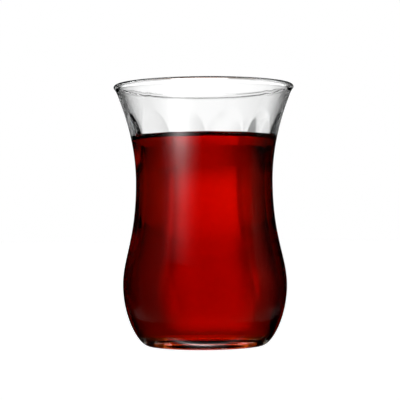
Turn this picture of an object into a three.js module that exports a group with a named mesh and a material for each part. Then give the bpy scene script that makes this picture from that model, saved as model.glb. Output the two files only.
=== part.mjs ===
// A waisted tea glass, filled with tea.
//
// The glass is one pressed and blown piece: a flared mouth with a rounded lip, a narrow waist, a full
// belly and a thick foot whose underside is pushed up in the middle. Its outside is smooth. In the bore,
// flat upright panels run down from arched tops below the mouth, so that the wall is thicker in the
// middle of each panel than at the corner between two. The tea fills the bore and climbs the wall a
// little at its edge.
//
// Units are millimetres. +Z is up, the origin is the middle of the foot's underside, at table height,
// and a corner between two panels lies on -Y.

import * as THREE from "three";

// Outside of the glass, from the foot up
const FOOT_RADIUS = 18.9;
const BELLY_RADIUS = 27.3;
const BELLY_Z = 20.2;
const WAIST_RADIUS = 22.8;
const WAIST_Z = 54.5;
const NECK_RADIUS = 29.2;
const NECK_Z = 84.5;
const FLARE = 0.413; // how much the wall widens for each millimetre of height, up at the mouth
const RIM_RADIUS = 30;
const HEIGHT = 86.7;
const LIP_RADIUS = 0.9;
const LIP_START = -Math.PI / 3; // where the lip's round leaves the neck

// How far the outline keeps its direction as it leaves the foot, the belly and the waist
const FOOT_PULL = 3;
const BELLY_PULL_DOWN = 11.2;
const BELLY_PULL_UP = 9.4;
const WAIST_PULL_DOWN = 19;

// Wall, floor and the hollow under the foot
const WALL = 1.4;
const BELLY_WALL = 1.7;
const FLOOR_Z = 3.6;
const FLOOR_CROWN = 0.3;
const FLOOR_RADIUS = 14;
const HEEL_PULL = 7.5;
const BORE_PULL_DOWN = 9.2;
const HOLLOW_RADIUS = 11;
const HOLLOW_HEIGHT = 1;

// Upright panels in the bore
const PANELS = 12;
const PANEL_ANGLE = (2 * Math.PI) / PANELS;
const PANEL_TOP_Z = 77.3;
const PANEL_DEPTH = 0.8; // extra wall in the middle of a panel
const PANEL_RUN = 5.6; // height over which an arched top comes near to that depth
const PANEL_END_Z = 8;
const PANEL_FULL_Z = 30;

// Tea
const TEA_Z = 68.6;
const CLIMB_HEIGHT = 1.3;
const CLIMB_REACH = 2.6;
const CLIMB_HUG = 1.75; // how far from the wall the climb's curve turns up
const TEA_GAP = 0.3; // keeps the tea's solid clear of the glass

// Fineness of the solids
const SIDES = PANELS * 6;
const ROW_PITCH = 5;
const ARCH_PITCH = 2.3;
const LIP_ROWS = 6;
const CLIMB_ROWS = 3;
const LEVEL_ERROR = 1e-6;

const point = (radius, z) => new THREE.Vector2(radius, z);

// From the waist up to the neck or the mouth, upright at first and then ever more flared.
function flaredCurve(waistRadius, topRadius, topZ) {
  return new THREE.QuadraticBezierCurve(
    point(waistRadius, WAIST_Z),
    point(waistRadius, topZ - (topRadius - waistRadius) / FLARE),
    point(topRadius, topZ),
  );
}

// From the belly up to the waist, upright at both ends.
function waistedCurve(bellyRadius, waistRadius) {
  return new THREE.CubicBezierCurve(
    point(bellyRadius, BELLY_Z),
    point(bellyRadius, BELLY_Z + BELLY_PULL_UP),
    point(waistRadius, WAIST_Z - WAIST_PULL_DOWN),
    point(waistRadius, WAIST_Z),
  );
}

// From the edge of the foot up to the belly.
const heelCurve = new THREE.CubicBezierCurve(
  point(FOOT_RADIUS, 0),
  point(FOOT_RADIUS + FOOT_PULL, 0),
  point(BELLY_RADIUS, BELLY_Z - BELLY_PULL_DOWN),
  point(BELLY_RADIUS, BELLY_Z),
);

// From the middle of the hollow under the foot out to the ring that the glass stands on.
const hollowCurve = new THREE.QuadraticBezierCurve(
  point(0, HOLLOW_HEIGHT),
  point(HOLLOW_RADIUS / 2, HOLLOW_HEIGHT),
  point(HOLLOW_RADIUS, 0),
);

const lipCentre = point(RIM_RADIUS - LIP_RADIUS, HEIGHT - LIP_RADIUS);
const lipEnd = Math.PI - Math.atan(FLARE); // where the lip's round runs into the bore

// The bore from the middle of its floor up to the lip, as three curves, set in by a gap.
function boreCurves(gap) {
  const belly = BELLY_RADIUS - BELLY_WALL - gap;
  const waist = WAIST_RADIUS - WALL - gap;
  const floorZ = FLOOR_Z + gap;
  const mouth = point(LIP_RADIUS, 0).rotateAround(point(0, 0), lipEnd).add(lipCentre);
  const floor = new THREE.CubicBezierCurve(
    point(FLOOR_RADIUS, floorZ),
    point(FLOOR_RADIUS + HEEL_PULL, floorZ),
    point(belly, BELLY_Z - BORE_PULL_DOWN),
    point(belly, BELLY_Z),
  );
  return [floor, waistedCurve(belly, waist), flaredCurve(waist, mouth.x - gap, mouth.y)];
}

const floorMiddle = (gap) => point(0, FLOOR_Z + FLOOR_CROWN + gap);

// Radius of the bore in one direction, where the plain round bore would have plainRadius.
function boreRadius(plainRadius, angle, z) {
  const full = THREE.MathUtils.smoothstep(z, PANEL_END_Z, PANEL_FULL_Z);
  const arched = 1 - Math.exp(-Math.max(PANEL_TOP_Z - z, 0) / PANEL_RUN);
  const fromMiddle = (angle % PANEL_ANGLE) - PANEL_ANGLE / 2;
  return Math.min(plainRadius, (plainRadius - PANEL_DEPTH * full * arched) / Math.cos(fromMiddle));
}

// Turns a profile round the axis, with the panels in its bore rows. The lathe's axis is Y at first.
function turn(profile, firstBoreRow, lastBoreRow) {
  const geometry = new THREE.LatheGeometry(profile, SIDES);
  const positions = geometry.getAttribute("position");
  for (let side = 0; side <= SIDES; side++) {
    const angle = ((side % SIDES) / SIDES) * 2 * Math.PI;
    for (let row = firstBoreRow; row <= lastBoreRow; row++) {
      const { x: plainRadius, y: z } = profile[row];
      const radius = boreRadius(plainRadius, angle, z);
      const vertex = side * profile.length + row;
      positions.setXYZ(vertex, radius * Math.sin(angle), z, radius * Math.cos(angle));
    }
  }
  return geometry.rotateX(Math.PI / 2);
}

// The points of a curve, about a pitch apart.
const rows = (curve, pitch) => curve.getPoints(Math.ceil(curve.getLength() / pitch));

// The same without the first point, for a curve that goes on from another one.
const onwards = (curve, pitch) => rows(curve, pitch).slice(1);

// The same for a curve that is followed back from its end.
const backwards = (curve, pitch) => rows(curve, pitch).reverse().slice(1);

// The points of a rising curve after its first one, up to a level.
function upTo(level, curve, pitch) {
  let below = 0;
  let above = 1;
  while (above - below > LEVEL_ERROR) {
    const middle = (below + above) / 2;
    if (curve.getPoint(middle).y < level) below = middle;
    else above = middle;
  }
  const count = Math.ceil((curve.getLength() * below) / pitch);
  return Array.from({ length: count }, (_, i) => curve.getPoint((below * (i + 1)) / count));
}

function glassGeometry() {
  const lip = new THREE.Path();
  lip.absarc(lipCentre.x, lipCentre.y, LIP_RADIUS, LIP_START, lipEnd, false);
  const outside = [
    ...rows(hollowCurve, ROW_PITCH),
    ...rows(heelCurve, ROW_PITCH),
    ...onwards(waistedCurve(BELLY_RADIUS, WAIST_RADIUS), ROW_PITCH),
    ...onwards(flaredCurve(WAIST_RADIUS, NECK_RADIUS, NECK_Z), ROW_PITCH),
    ...lip.curves[0].getPoints(LIP_ROWS),
  ];
  const [floor, waisted, flared] = boreCurves(0);
  const bore = [
    ...backwards(flared, ARCH_PITCH),
    ...backwards(waisted, ROW_PITCH),
    ...backwards(floor, ROW_PITCH),
  ];
  const profile = [...outside, ...bore, floorMiddle(0)];
  return turn(profile, outside.length, profile.length - 2);
}

function teaGeometry() {
  const [floor, waisted, flared] = boreCurves(TEA_GAP);
  const wetted = [
    ...rows(floor, ROW_PITCH),
    ...onwards(waisted, ROW_PITCH),
    ...upTo(TEA_Z + CLIMB_HEIGHT, flared, ARCH_PITCH),
  ];
  const edge = wetted.at(-1);
  const climb = new THREE.QuadraticBezierCurve(
    edge,
    point(edge.x - CLIMB_HUG, TEA_Z),
    point(edge.x - CLIMB_REACH, TEA_Z),
  );
  const surface = [...climb.getPoints(CLIMB_ROWS).slice(1), point(0, TEA_Z)];
  const profile = [floorMiddle(TEA_GAP), ...wetted, ...surface];
  return turn(profile, 1, profile.length - 2);
}

const clearGlass = new THREE.MeshStandardMaterial({
  color: 0xe4ece9,
  roughness: 0.03,
  metalness: 0,
  transparent: true,
  opacity: 0.35,
});

const redTea = new THREE.MeshStandardMaterial({ color: 0x9c0b06, roughness: 0.05, metalness: 0 });

const filledGlass = new THREE.Group();
const glass = new THREE.Mesh(glassGeometry(), clearGlass);
glass.name = "glass";
const tea = new THREE.Mesh(teaGeometry(), redTea);
tea.name = "tea";
filledGlass.add(glass, tea);

export default filledGlass;
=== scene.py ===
# A waisted tea glass filled with strong red tea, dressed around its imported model. Everything is in
# metres, in the model's own frame: +Z is up, and the glass stands at the origin.

import math

import bpy
from mathutils import Matrix, Vector, geometry


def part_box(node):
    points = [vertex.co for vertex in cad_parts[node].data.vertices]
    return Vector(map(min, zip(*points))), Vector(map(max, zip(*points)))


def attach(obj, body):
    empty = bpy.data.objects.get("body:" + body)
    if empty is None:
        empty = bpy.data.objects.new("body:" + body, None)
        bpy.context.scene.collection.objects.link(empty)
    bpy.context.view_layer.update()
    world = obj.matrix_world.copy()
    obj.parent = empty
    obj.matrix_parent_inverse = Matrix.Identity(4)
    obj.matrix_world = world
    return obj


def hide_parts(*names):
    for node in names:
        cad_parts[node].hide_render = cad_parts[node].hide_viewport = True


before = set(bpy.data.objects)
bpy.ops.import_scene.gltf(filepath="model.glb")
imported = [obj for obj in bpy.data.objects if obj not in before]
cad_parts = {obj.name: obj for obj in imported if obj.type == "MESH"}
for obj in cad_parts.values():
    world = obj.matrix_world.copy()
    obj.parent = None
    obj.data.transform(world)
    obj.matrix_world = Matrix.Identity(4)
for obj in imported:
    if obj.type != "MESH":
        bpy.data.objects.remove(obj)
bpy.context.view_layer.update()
scene = bpy.context.scene
MM = 0.001


# The camera: a long lens, level with the middle of the glass and almost square to it. It is turned a
# little up and to the left, and leans a little, as in the photograph.
CAMERA_DISTANCE = 482 * MM
CAMERA_HEIGHT = 39.7 * MM
CAMERA_ROUND = math.radians(3.4)
CAMERA_LEAN = math.radians(0.43)
PICTURE_SIDE_PX = 400
FOCAL_PX = 1447
AXIS_PX = 204.4
HORIZON_PX = 226

camera_data = bpy.data.cameras.new("camera")
camera_data.sensor_width = 36
camera_data.lens = camera_data.sensor_width * FOCAL_PX / PICTURE_SIDE_PX
camera_data.clip_start = 0.01
camera_data.clip_end = 50
camera = bpy.data.objects.new("camera", camera_data)
scene.collection.objects.link(camera)
scene.camera = camera
picture_middle_px = PICTURE_SIDE_PX / 2
heading = math.atan((AXIS_PX - picture_middle_px) / FOCAL_PX) - CAMERA_ROUND
tilt = math.pi / 2 + math.atan((HORIZON_PX - picture_middle_px) / FOCAL_PX)
stand = Vector((-math.sin(CAMERA_ROUND), -math.cos(CAMERA_ROUND), 0)) * CAMERA_DISTANCE
stand.z = CAMERA_HEIGHT
camera.matrix_world = (
    Matrix.Translation(stand)
    @ Matrix.Rotation(heading, 4, "Z")
    @ Matrix.Rotation(tilt, 4, "X")
    @ Matrix.Rotation(-CAMERA_LEAN, 4, "Z")
)


# The glass: one body of clear soda-lime glass, blown into a ribbed mould and then smoothed outside. Its
# lip is rounded in the flame. The wall is thicker in the middle of each of the twelve flat panels, and
# the foot is thick, with a hollow pushed up under it.
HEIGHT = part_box("glass")[1].z
RIM_RADIUS = 30 * MM
FOOT_RADIUS = 18.9 * MM
BELLY_RADIUS = 27.3 * MM
BELLY_Z = 20.2 * MM
WAIST_RADIUS = 22.8 * MM
WAIST_Z = 54.5 * MM
NECK_RADIUS = 29.2 * MM
NECK_Z = 84.5 * MM
FLARE = 0.413
LIP_RADIUS = 0.9 * MM
LIP_START = math.radians(-52)
FOOT_PULL = 3 * MM
BELLY_PULL_DOWN = 11.2 * MM
BELLY_PULL_UP = 9.4 * MM
WAIST_PULL_DOWN = 19 * MM
WALL = 1.4 * MM
BELLY_WALL = 1.7 * MM
FLOOR_Z = 3.6 * MM
FLOOR_CROWN = 0.3 * MM
FLOOR_RADIUS = 14 * MM
HEEL_PULL = 7.5 * MM
BORE_PULL_DOWN = 9.2 * MM
HOLLOW_RADIUS = 11 * MM
HOLLOW_HEIGHT = 1 * MM
PANELS = 12
PANEL_TOP_Z = 77.3 * MM
PANEL_DEPTH = 0.8 * MM
PANEL_RUN = 5.6 * MM
PANEL_END_Z = 8 * MM
PANEL_FULL_Z = 30 * MM
ARCH_SOFT = 0.12 * MM
CORNER_SOFT = math.radians(1.2)
TEA_EDGE_Z = 69.9 * MM
SIDES = PANELS * 24
ROW_PITCH = 0.8 * MM
LIP_ROWS = 22
NECK_SOFT = 0.5 * MM
NECK_LEAVES = 0.6
NECK_MEETS = 0.35
NECK_ROWS = 8
BEND = 2 / 3
WELD = 0.0005 * MM
GLASS_IOR = 1.52
GLASS_TINT = (0.90, 1.0, 0.96)
GLASS_TINT_DENSITY = 12
RIPPLE_SCALE = 60
RIPPLE = 0.02


class Value:
    """An output of a node. Arithmetic on it adds Math nodes to the same tree."""

    def __init__(self, socket):
        self.socket = socket

    def calc(self, operation, *terms):
        made = Nodes(self.socket.id_data).add(
            "ShaderNodeMath", {"operation": operation}, dict(enumerate(terms))
        )
        return made[0]

    def at_least(self, other):
        return self.calc("MAXIMUM", self, other)

    def __add__(self, other):
        return self.calc("ADD", self, other)

    def __sub__(self, other):
        return self.calc("SUBTRACT", self, other)

    def __mul__(self, other):
        return self.calc("MULTIPLY", self, other)

    def __truediv__(self, other):
        return self.calc("DIVIDE", self, other)

    def __mod__(self, other):
        return self.calc("FLOORED_MODULO", self, other)

    def __rsub__(self, other):
        return self.calc("SUBTRACT", other, self)

    def __rtruediv__(self, other):
        return self.calc("DIVIDE", other, self)

    def __abs__(self):
        return self.calc("ABSOLUTE", self)


class Outputs:
    """The outputs of a node, by name or by place."""

    def __init__(self, node):
        self.node = node

    def __getitem__(self, key):
        return Value(find_socket(self.node.outputs, key))


def find_socket(sockets, key):
    if isinstance(key, int):
        return sockets[key]
    return next(socket for socket in sockets if socket.enabled and socket.name == key)


class Nodes:
    """Adds nodes to a tree."""

    def __init__(self, tree):
        self.tree = tree

    def add(self, kind, settings=None, sockets=None):
        node = self.tree.nodes.new(kind)
        for name, setting in (settings or {}).items():
            if name == "stops":
                self.set_stops(node.color_ramp, setting)
            else:
                setattr(node, name, setting)
        for key, given in (sockets or {}).items():
            socket = find_socket(node.inputs, key)
            if isinstance(given, Value):
                self.tree.links.new(given.socket, socket)
            else:
                socket.default_value = given
        return Outputs(node)

    @staticmethod
    def set_stops(ramp, stops):
        while len(ramp.elements) < len(stops):
            ramp.elements.new(1.0)
        for element, (place, level) in zip(ramp.elements, stops):
            element.position = place
            element.color = (level, level, level, 1)


def at(radius, z):
    return Vector((radius, 0, z))


def curve_rows(start, start_pull, end_pull, end):
    """Points along a Bezier curve, about a row's pitch apart."""
    count = max(2, round((end - start).length / ROW_PITCH) + 1)
    return geometry.interpolate_bezier(start, start_pull, end_pull, end, count)


def bent_rows(start, pull, end):
    """The same along a curve that bends round a single pull."""
    return curve_rows(start, start.lerp(pull, BEND), end.lerp(pull, BEND), end)


def flared_rows(waist_radius, top):
    """From the waist up to the neck or the mouth: upright at first, then ever more flared."""
    pull = at(waist_radius, top.z - (top.x - waist_radius) / FLARE)
    return bent_rows(at(waist_radius, WAIST_Z), pull, top)


def waisted_rows(belly_radius, waist_radius):
    """From the belly up to the waist, upright at both ends."""
    return curve_rows(
        at(belly_radius, BELLY_Z),
        at(belly_radius, BELLY_Z + BELLY_PULL_UP),
        at(waist_radius, WAIST_Z - WAIST_PULL_DOWN),
        at(waist_radius, WAIST_Z),
    )


def lip_point(turn):
    """A point on the lip's round, turned from the way straight out."""
    centre = at(RIM_RADIUS - LIP_RADIUS, HEIGHT - LIP_RADIUS)
    return centre + at(LIP_RADIUS * math.cos(turn), LIP_RADIUS * math.sin(turn))


LIP_END = math.pi - math.atan(FLARE)


def outside_rows():
    """From the middle of the underside out to the foot, up the outside and over the lip."""
    hollow_edge = at(HOLLOW_RADIUS, 0)
    foot_edge = at(FOOT_RADIUS, 0)
    hollow = bent_rows(at(0, HOLLOW_HEIGHT), at(HOLLOW_RADIUS / 2, HOLLOW_HEIGHT), hollow_edge)
    ring = bent_rows(hollow_edge, hollow_edge.lerp(foot_edge, 0.5), foot_edge)
    heel = curve_rows(
        foot_edge,
        at(FOOT_RADIUS + FOOT_PULL, 0),
        at(BELLY_RADIUS, BELLY_Z - BELLY_PULL_DOWN),
        at(BELLY_RADIUS, BELLY_Z),
    )
    waisted = waisted_rows(BELLY_RADIUS, WAIST_RADIUS)
    neck_place = at(NECK_RADIUS, NECK_Z)
    flared = [row for row in flared_rows(WAIST_RADIUS, neck_place) if row.z < NECK_Z - NECK_SOFT]
    along = at(FLARE, 1).normalized() * NECK_SOFT
    out = at(-math.sin(LIP_START), math.cos(LIP_START)) * NECK_SOFT
    below = neck_place - along
    start = lip_point(LIP_START)
    neck = geometry.interpolate_bezier(
        below, below + along * NECK_LEAVES, start - out * NECK_MEETS, start, NECK_ROWS
    )
    turns = [LIP_START + (LIP_END - LIP_START) * step / LIP_ROWS for step in range(1, LIP_ROWS + 1)]
    lip = [lip_point(turn) for turn in turns]
    return hollow + ring[1:] + heel[1:] + waisted[1:] + flared[1:] + neck + lip


def bore_rows(into_wall=0.0):
    """From the middle of the bore's floor up to the lip, pushed into the wall by a distance."""
    belly = BELLY_RADIUS - BELLY_WALL + into_wall
    waist = WAIST_RADIUS - WALL + into_wall
    floor_z = FLOOR_Z - into_wall
    middle = at(0, floor_z + FLOOR_CROWN)
    edge = at(FLOOR_RADIUS, floor_z)
    floor = curve_rows(middle, at(FLOOR_RADIUS / 2, middle.z), at(FLOOR_RADIUS / 2, floor_z), edge)
    heel = curve_rows(
        edge,
        at(FLOOR_RADIUS + HEEL_PULL, floor_z),
        at(belly, BELLY_Z - BORE_PULL_DOWN),
        at(belly, BELLY_Z),
    )
    waisted = waisted_rows(belly, waist)
    flared = flared_rows(waist, lip_point(LIP_END) + at(into_wall, 0))
    return floor + heel[1:] + waisted[1:] + flared[1:]


def turning_tree():
    """Turns a profile round the axis. Its rows that are marked as bore take the shape of the panels."""
    tree = bpy.data.node_groups.new("turn a profile", "GeometryNodeTree")
    tree.interface.new_socket("Profile", in_out="INPUT", socket_type="NodeSocketGeometry")
    for name in ("Sides", "Panels"):
        tree.interface.new_socket(name, in_out="INPUT", socket_type="NodeSocketInt")
    panel_sizes = ("Panel top", "Panel depth", "Panel run", "Panel end", "Panel full")
    for name in (*panel_sizes, "Arch soft", "Corner soft"):
        tree.interface.new_socket(name, in_out="INPUT", socket_type="NodeSocketFloat")
    tree.interface.new_socket("Material", in_out="INPUT", socket_type="NodeSocketMaterial")
    tree.interface.new_socket("Body", in_out="OUTPUT", socket_type="NodeSocketGeometry")
    nodes = Nodes(tree)
    given = nodes.add("NodeGroupInput")
    profile, sides = given["Profile"], given["Sides"]

    rows = nodes.add("GeometryNodeAttributeDomainSize", None, {"Geometry": profile})["Point Count"]
    grid = nodes.add("GeometryNodeMeshGrid", None, {"Vertices X": sides + 1, "Vertices Y": rows})
    index = nodes.add("GeometryNodeInputIndex")[0]
    row = index % rows
    side = (index - row) / rows

    def profile_value(data_type, value):
        return nodes.add(
            "GeometryNodeSampleIndex",
            {"data_type": data_type},
            {"Geometry": profile, "Value": value, "Index": row},
        )[0]

    def profile_mark(name):
        mark = nodes.add("GeometryNodeInputNamedAttribute", {"data_type": "FLOAT"}, {"Name": name})
        return profile_value("FLOAT", mark["Attribute"])

    place = profile_value("FLOAT_VECTOR", nodes.add("GeometryNodeInputPosition")[0])
    apart = nodes.add("ShaderNodeSeparateXYZ", None, {0: place})
    plain, z = apart["X"], apart["Z"]

    full = nodes.add(
        "ShaderNodeMapRange",
        {"interpolation_type": "SMOOTHSTEP"},
        {"Value": z, "From Min": given["Panel end"], "From Max": given["Panel full"]},
    )[0]
    below_top = (given["Panel top"] - z).at_least(0)
    fall = below_top / given["Panel run"] * -1
    strength = full * (1 - fall.calc("EXPONENT", fall))
    panel_place = side * given["Panels"] / sides % 1
    half_panel = math.pi / given["Panels"]
    from_corner = half_panel - abs(panel_place - 0.5) * 2 * half_panel
    corner_soft = given["Corner soft"]
    squares = from_corner * from_corner + corner_soft * corner_soft
    from_middle = half_panel - squares.calc("SQRT", squares)
    flat = (plain - given["Panel depth"] * strength) / from_middle.calc("COSINE", from_middle)
    panelled = flat.calc("SMOOTH_MIN", plain, flat, given["Arch soft"])
    radius = plain + (panelled - plain) * profile_mark("bore")

    turn = side / sides * math.tau - math.pi / 2
    turned_place = nodes.add(
        "ShaderNodeCombineXYZ",
        None,
        {"X": radius * turn.calc("COSINE", turn), "Y": radius * turn.calc("SINE", turn), "Z": z},
    )[0]
    body = nodes.add(
        "GeometryNodeSetPosition", None, {"Geometry": grid["Mesh"], "Position": turned_place}
    )[0]
    body = nodes.add(
        "GeometryNodeStoreNamedAttribute",
        {"data_type": "FLOAT", "domain": "POINT"},
        {"Geometry": body, "Name": "open_air", "Value": profile_mark("open_air")},
    )[0]
    body = nodes.add("GeometryNodeMergeByDistance", None, {"Geometry": body, "Distance": WELD})[0]
    body = nodes.add("GeometryNodeSetShadeSmooth", None, {"Geometry": body})[0]
    body = nodes.add("GeometryNodeRealizeInstances", None, {"Geometry": body})[0]
    body = nodes.add("GeometryNodeSetMaterial", None, {"Geometry": body, "Material": given["Material"]})[0]
    nodes.add("NodeGroupOutput", None, {"Body": body})
    return tree


turning = turning_tree()


def turned_piece(name, rows, bore_marks, air_marks, material):
    """A piece turned from a profile, as a plain mesh."""
    profile = bpy.data.meshes.new(name)
    profile.from_pydata(rows, [], [])
    for mark, values in (("bore", bore_marks), ("open_air", air_marks)):
        profile.attributes.new(mark, "FLOAT", "POINT").data.foreach_set("value", values)
    piece = bpy.data.objects.new(name, profile)
    scene.collection.objects.link(piece)
    modifier = piece.modifiers.new("turn", "NODES")
    modifier.node_group = turning
    inputs = {
        "Sides": SIDES,
        "Panels": PANELS,
        "Panel top": PANEL_TOP_Z,
        "Panel depth": PANEL_DEPTH,
        "Panel run": PANEL_RUN,
        "Panel end": PANEL_END_Z,
        "Panel full": PANEL_FULL_Z,
        "Arch soft": ARCH_SOFT,
        "Corner soft": CORNER_SOFT,
        "Material": material,
    }
    for socket in turning.interface.items_tree:
        if socket.name in inputs:
            modifier[socket.identifier] = inputs[socket.name]
    shaped = piece.evaluated_get(bpy.context.evaluated_depsgraph_get())
    piece.data = bpy.data.meshes.new_from_object(shaped)
    piece.modifiers.remove(modifier)
    return piece


def new_material(name):
    """A material without nodes, and what adds nodes to it."""
    material = bpy.data.materials.new(name)
    material.use_nodes = True
    material.node_tree.nodes.clear()
    return material, Nodes(material.node_tree)


def clear_material(name, ior, tint, density, ripple_scale, ripple):
    """A clear body that swallows light on its way. It mirrors only where it meets the open air."""
    material, nodes = new_material(name)
    place = nodes.add("ShaderNodeTexCoord")["Object"]
    waves = nodes.add("ShaderNodeTexNoise", None, {"Vector": place, "Scale": ripple_scale, "Detail": 1})[0]
    bump = nodes.add("ShaderNodeBump", None, {"Height": waves, "Strength": ripple, "Distance": MM})[0]
    open_air = nodes.add("ShaderNodeAttribute", {"attribute_name": "open_air"})["Fac"]
    surface = nodes.add(
        "ShaderNodeBsdfPrincipled",
        None,
        {
            "Base Color": (1, 1, 1, 1),
            "Roughness": 0,
            "IOR": ior,
            "Specular Tint": (0, 0, 0, 1),
            "Transmission Weight": 1,
            "Coat Weight": open_air,
            "Coat IOR": ior,
            "Coat Roughness": 0,
            "Normal": bump,
        },
    )
    body = nodes.add("ShaderNodeVolumeAbsorption", None, {"Color": (*tint, 1), "Density": density})
    nodes.add("ShaderNodeOutputMaterial", None, {"Surface": surface[0], "Volume": body[0]})
    return material


outside = outside_rows()
bore = bore_rows()[-2::-1]
glass = turned_piece(
    "clear_glass_body",
    outside + bore,
    [0.0] * len(outside) + [1.0] * len(bore),
    [1.0] * len(outside) + [float(row.z > TEA_EDGE_Z) for row in bore],
    clear_material("clear glass", GLASS_IOR, GLASS_TINT, GLASS_TINT_DENSITY, RIPPLE_SCALE, RIPPLE),
)
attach(glass, "root")
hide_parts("glass")


# The tea: strong, clear and dark red. It wets the whole bore, so it reaches just into the wall, and its
# edge climbs the wall a little all round.
INTO_WALL = 0.055 * MM
TEA_Z = 68.6 * MM
CLIMB_REACH = 2.6 * MM
CLIMB_HUG = 1.75 * MM
CLIMB_ROWS = 16
SURFACE_ROWS = 12
TEA_IOR = 1.333
TEA_COLOUR = (0.925, 0.56, 0.0)
TEA_DENSITY = 400
SWIRL_SCALE = 40
SWIRL = 0.01


def tea_rows():
    """From the middle of the bore's floor up the wall to the tea's edge, and back over its surface."""
    wetted = [row for row in bore_rows(INTO_WALL) if row.z < TEA_EDGE_Z - ROW_PITCH / 4]
    above = next(row for row in bore_rows(INTO_WALL) if row.z >= TEA_EDGE_Z)
    below = wetted[-1]
    edge = below.lerp(above, (TEA_EDGE_Z - below.z) / (above.z - below.z))
    pull = at(edge.x - CLIMB_HUG, TEA_Z)
    level = at(edge.x - CLIMB_REACH, TEA_Z)
    climb = geometry.interpolate_bezier(
        edge, edge.lerp(pull, BEND), level.lerp(pull, BEND), level, CLIMB_ROWS
    )
    surface = [level.lerp(at(0, TEA_Z), step / SURFACE_ROWS) for step in range(1, SURFACE_ROWS + 1)]
    return wetted, climb + surface


wetted, free_surface = tea_rows()
tea = turned_piece(
    "red_tea_body",
    wetted + free_surface,
    [1.0] * len(wetted + free_surface),
    [0.0] * len(wetted) + [1.0] * len(free_surface),
    clear_material("red tea", TEA_IOR, TEA_COLOUR, TEA_DENSITY, SWIRL_SCALE, SWIRL),
)
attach(tea, "root")
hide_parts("tea")


# The floor: a wide, white, evenly lit sheet without a seam, just under the foot.
FLOOR_HALF = 3
FLOOR_GAP = 0.2 * MM
FLOOR_LIGHT = 1.0
FLOOR_WHITE = 0.9


def stage_material(name, sockets):
    """A material of the stage, from the sockets of its Principled node."""
    material, nodes = new_material(name)
    surface = nodes.add("ShaderNodeBsdfPrincipled", None, sockets)
    nodes.add("ShaderNodeOutputMaterial", None, {"Surface": surface[0]})
    return material


def flat_piece(name, corners, material, unseen_by):
    """A flat piece of the stage, with the kinds of rays that pass it by."""
    mesh = bpy.data.meshes.new(name)
    mesh.from_pydata(corners, [], [range(len(corners))])
    mesh.materials.append(material)
    piece = bpy.data.objects.new(name, mesh)
    scene.collection.objects.link(piece)
    for kind in unseen_by:
        setattr(piece, "visible_" + kind, False)
    return piece


lit_white = stage_material(
    "lit white floor",
    {
        "Base Color": (FLOOR_WHITE, FLOOR_WHITE, FLOOR_WHITE, 1),
        "Roughness": 0.9,
        "Emission Color": (1, 1, 1, 1),
        "Emission Strength": FLOOR_LIGHT,
    },
)
floor = flat_piece(
    "floor",
    [(x * FLOOR_HALF, y * FLOOR_HALF, -FLOOR_GAP) for x, y in ((-1, -1), (1, -1), (1, 1), (-1, 1))],
    lit_white,
    ("glossy", "transmission"),
)


# The cards: a lit card stands behind the glass, bright in the middle, dim at both sides and wide at its
# foot, with levels worked out from the photograph's brightness. A small white card hangs over the far
# lip and keeps the clear part above the tea light. A dark disc under the foot is its shadow.
CARD_BEHIND = 100 * MM
CARD_HALF = 26 * MM
CARD_TOP = 68 * MM
CARD_WIDE_HALF = 90 * MM
CARD_WIDE_TOP = 24 * MM
CARD_LIGHT = 2.3
CORE_ROUND = [
    (-140, 0), (-19, 0), (-17, 0.22), (-14.5, 0.76), (-11, 0.95), (-3, 0.92), (0, 0.96), (4, 0.92),
    (7, 0.85), (10, 0.55), (13, 0.3), (18, 0.1), (24, 0), (140, 0),
]
CORE_ROUND_LOW = [
    (-140, 0), (-25, 0), (-20, 0.15), (-16, 0.42), (-12, 0.62), (-9, 0.86), (-4, 0.98), (2, 0.97),
    (6, 0.74), (9, 0.42), (12, 0.25), (17, 0.1), (25, 0), (140, 0),
]
CORE_SHARP = [(0, 0), (14, 0), (19, 0.35), (24, 0.8), (30, 1), (68, 1)]
CORE_HIGH = [
    (0, 0.25), (8, 0.34), (10, 0.41), (13, 0.6), (15, 0.72), (17, 0.7), (19, 0.71), (23, 0.8), (30, 0.88),
    (46, 0.97), (52, 0.96), (57, 0.86), (61, 0.74), (65, 0.58), (68, 0.5),
]
SIDE_ROUND = [
    (-90, 0), (-56, 0), (-48, 0.02), (-42, 0.06), (-36, 0.12), (-30, 0.18), (-26, 0.24), (-22, 0.28),
    (-15, 0.42), (0, 0.4), (13, 0.28), (20, 0.22), (26, 0.19), (30, 0.17), (36, 0.12), (42, 0.07),
    (48, 0.03), (56, 0), (90, 0),
]
SIDE_HIGH = [
    (0, 0.5), (12, 0.52), (15, 0.55), (18, 0.51), (21, 0.47), (25, 0.6), (30, 0.84), (36, 0.95), (50, 1),
    (60, 0.75), (68, 0.62),
]
HANGING_HALF = 60 * MM
HANGING_NEAR = 28 * MM
HANGING_FAR = 62 * MM
HANGING_Z = 104 * MM
SHADE_RADIUS = 26 * MM
SHADE_SIDES = 48
SHADE_Z = -0.15 * MM
BLACK = (0, 0, 0, 1)


def levels(nodes, value, stops):
    """The level at a value, between stops of a value and a level each."""
    low, high = stops[0][0], stops[-1][0]
    placed = [((place - low) / (high - low), level) for place, level in stops]
    return nodes.add("ShaderNodeValToRGB", {"stops": placed}, {0: (value - low) / (high - low)})[0]


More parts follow.
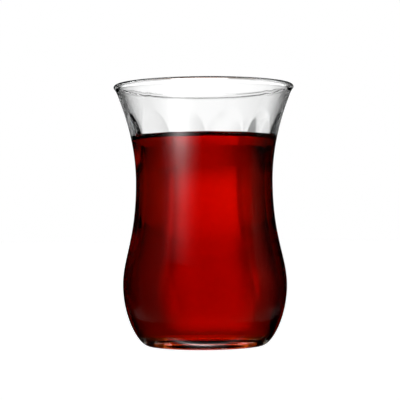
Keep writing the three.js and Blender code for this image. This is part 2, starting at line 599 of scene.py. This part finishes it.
def card_material():
    """The card's own light: a bright core, sharp high up and soft low down, between dim sides."""
    material, nodes = new_material("lit card")
    place = nodes.add("ShaderNodeSeparateXYZ", None, {0: nodes.add("ShaderNodeTexCoord")["Object"]})
    across = place["X"] / MM
    up = place["Z"] / MM
    soft = levels(nodes, across, CORE_ROUND_LOW)
    sharp = levels(nodes, across, CORE_ROUND)
    core = (soft + (sharp - soft) * levels(nodes, up, CORE_SHARP)) * levels(nodes, up, CORE_HIGH)
    side = levels(nodes, across, SIDE_ROUND) * levels(nodes, up, SIDE_HIGH)
    surface = nodes.add(
        "ShaderNodeBsdfPrincipled",
        None,
        {
            "Base Color": BLACK,
            "Roughness": 1,
            "Specular IOR Level": 0,
            "Emission Color": core.at_least(side),
            "Emission Strength": CARD_LIGHT,
        },
    )
    nodes.add("ShaderNodeOutputMaterial", None, {"Surface": surface[0]})
    return material


card_edges = [
    (CARD_WIDE_HALF, 0),
    (CARD_WIDE_HALF, CARD_WIDE_TOP),
    (CARD_HALF, CARD_WIDE_TOP),
    (CARD_HALF, CARD_TOP),
]
card = flat_piece(
    "card",
    [(x, 0, z) for x, z in card_edges] + [(-x, 0, z) for x, z in reversed(card_edges)],
    card_material(),
    ("camera", "diffuse", "glossy", "shadow"),
)
card.matrix_world = Matrix.Rotation(-CAMERA_ROUND, 4, "Z") @ Matrix.Translation((0, CARD_BEHIND, 0))

hanging_corners = [(-HANGING_HALF, y, HANGING_Z) for y in (HANGING_NEAR, HANGING_FAR)]
hanging_corners += [(HANGING_HALF, y, HANGING_Z) for y in (HANGING_FAR, HANGING_NEAR)]
hanging = flat_piece(
    "hanging card", hanging_corners, lit_white, ("camera", "diffuse", "glossy", "shadow")
)

# The shade: a black disc that is a painted shadow of the foot on the table, seen only through the glass
# and tea.
shade_turns = [math.tau * side / SHADE_SIDES for side in range(SHADE_SIDES)]
shade = flat_piece(
    "shade",
    [(SHADE_RADIUS * math.cos(turn), SHADE_RADIUS * math.sin(turn), SHADE_Z) for turn in shade_turns],
    stage_material("painted foot shadow", {"Base Color": BLACK, "Specular IOR Level": 0}),
    ("camera", "diffuse", "glossy", "shadow"),
)


# The light: a far white backdrop with dark sides, a white table, one tall soft box at the front left, a
# black flag before it and a small bright spot under the heel, with levels worked out from the
# photograph's brightness. Seen straight on, all round the glass is plain white.
BACKDROP = 1.12
BACKDROP_ROUND = [
    (-180, 0.8), (-105, 0.75), (-82, 0.6), (-68, 0), (-46, 0), (-40, 0.03), (-36, 0.09), (-33, 0.14),
    (-29, 0.21), (-25, 0.31), (-20, 0.42), (-16, 0.54), (-12, 0.72), (-7, 0.86), (-2, 1), (1, 1), (5, 0.9),
    (12, 0.74), (16, 0.54), (20, 0.4), (25, 0.32), (30, 0.25), (36, 0.18), (43, 0.12), (48, 0.08),
    (54, 0.02), (68, 0), (82, 0.6), (105, 0.75), (180, 0.8),
]
BACKDROP_HIGH = [
    (-90, 1), (10, 1), (13, 0.85), (20, 0.3), (27, 0.03), (33, 0), (62, 0), (72, 0.5), (90, 0.5),
]
BACKDROP_NARROW = [(-90, 1), (4, 1), (10, 1.32), (16, 1.6), (60, 1.6), (70, 1), (90, 1)]
MIRROR_HIGH = [(-90, 0), (-40, 0), (-25, 1), (23, 1), (34, 0.04), (90, 0)]
MIRROR_ROUND = [(-180, 0), (-12, 0), (-8, 1), (8, 1), (12, 0), (180, 0)]
TABLE_LEVEL = 0.7
TABLE_FROM = -9
TABLE_TO = -14
TABLE_ROUND = [(-180, 0.5), (-32, 0.5), (-22, 0), (22, 0), (32, 0.5), (180, 0.5)]
TABLE_DROP = 18
NEAR_TABLE_HIGH = [(-90, 0.15), (-78, 0.1), (-66, 0), (90, 0)]
BOX_ROUND = -141
BOX_LIGHT = 4.2
BOX_ACROSS = [(0, 1), (4, 1), (8, 0.8), (13, 0.47), (18, 0.25), (23, 0.12), (30, 0.03), (36, 0), (360, 0)]
BOX_HIGH = [
    (-90, 0), (-45, 0), (-30, 1), (-18, 1), (-14, 0.79), (-11, 0.6), (-7.5, 0.45), (-2, 0.32), (3, 0.24),
    (6, 0.18), (9, 0.135), (13, 0.1), (17, 0.09), (21.5, 0.076), (24, 0.05), (30, 0), (90, 0),
]
GLINT = 6
GLINT_X = -0.1
GLINT_Y = -0.07
GLINT_WIDE = 4
GLINT_FALL = [(0, 1), (0.03, 0.9), (0.07, 0.3), (0.12, 0.06), (0.2, 0), (2, 0)]
GLINT_HIGH = [(-90, 1), (-50, 1), (-45, 0), (90, 0)]
FLAG_FROM_AXIS = 60 * MM
FLAG_HALF = 60 * MM
FLAG_LOW = -60 * MM
FLAG_TOP = 51 * MM
FLAG_FADE_FROM = 40 * MM


def flag_material():
    """Black, and thinning out to nothing towards the flag's top edge."""
    material, nodes = new_material("black flag")
    place = nodes.add("ShaderNodeSeparateXYZ", None, {0: nodes.add("ShaderNodeTexCoord")["Object"]})
    cover = nodes.add(
        "ShaderNodeMapRange", None, {"Value": place["Z"], "From Min": FLAG_TOP, "From Max": FLAG_FADE_FROM}
    )[0]
    surface = nodes.add(
        "ShaderNodeBsdfPrincipled", None, {"Base Color": BLACK, "Specular IOR Level": 0, "Alpha": cover}
    )
    nodes.add("ShaderNodeOutputMaterial", None, {"Surface": surface[0]})
    return material


flag_corners = [(-FLAG_HALF, 0, z) for z in (FLAG_LOW, FLAG_TOP)]
flag_corners += [(FLAG_HALF, 0, z) for z in (FLAG_TOP, FLAG_LOW)]
flag = flat_piece("flag", flag_corners, flag_material(), ("camera", "diffuse", "transmission", "shadow"))
flag_turn = -math.radians(BOX_ROUND) - CAMERA_ROUND
flag.matrix_world = Matrix.Rotation(flag_turn, 4, "Z") @ Matrix.Translation((0, FLAG_FROM_AXIS, 0))

world = bpy.data.worlds.new("studio")
world.use_nodes = True
world.node_tree.nodes.clear()
world.cycles.sampling_method = "NONE"
scene.world = world
sky = Nodes(world.node_tree)
way = sky.add("ShaderNodeSeparateXYZ", None, {0: sky.add("ShaderNodeTexCoord")["Generated"]})
azimuth = way["X"].calc("ARCTAN2", way["X"], way["Y"]) * math.degrees(1) - math.degrees(CAMERA_ROUND)
elevation = way["Z"].calc("ARCSINE", way["Z"]) * math.degrees(1)
around = (azimuth + 180) % 360 - 180

narrowed = around * levels(sky, elevation, BACKDROP_NARROW)
backdrop = levels(sky, narrowed, BACKDROP_ROUND) * levels(sky, elevation, BACKDROP_HIGH)
sunk = elevation + levels(sky, around, TABLE_ROUND) * TABLE_DROP
below = sky.add(
    "ShaderNodeMapRange", None, {"Value": sunk, "From Min": TABLE_FROM, "From Max": TABLE_TO}
)[0]
through = (backdrop + (TABLE_LEVEL - backdrop) * below) * BACKDROP

from_box = abs((azimuth - BOX_ROUND + 180) % 360 - 180)
box = levels(sky, from_box, BOX_ACROSS) * levels(sky, elevation, BOX_HIGH) * BOX_LIGHT
mirrored = box + levels(sky, around, MIRROR_ROUND) * levels(sky, elevation, MIRROR_HIGH)
mirrored = mirrored + levels(sky, elevation, NEAR_TABLE_HIGH)

glint_x = (way["X"] - GLINT_X) / GLINT_WIDE
glint_y = way["Y"] - GLINT_Y
glint_square = glint_x * glint_x + glint_y * glint_y
from_glint = glint_square.calc("SQRT", glint_square)
mirrored = mirrored + levels(sky, from_glint, GLINT_FALL) * levels(sky, elevation, GLINT_HIGH) * GLINT

path = sky.add("ShaderNodeLightPath")
transmitted = path["Is Transmission Ray"]
level = mirrored + (through - mirrored) * transmitted
level = level + (1 - level) * path["Is Camera Ray"]
light = sky.add("ShaderNodeBackground", None, {"Color": (1, 1, 1, 1), "Strength": level})
sky.add("ShaderNodeOutputWorld", None, {"Surface": light[0]})

scene.view_settings.view_transform = "Standard"
scene.cycles.max_bounces = 24
scene.cycles.transmission_bounces = 24
scene.cycles.glossy_bounces = 12
scene.cycles.use_denoising = True
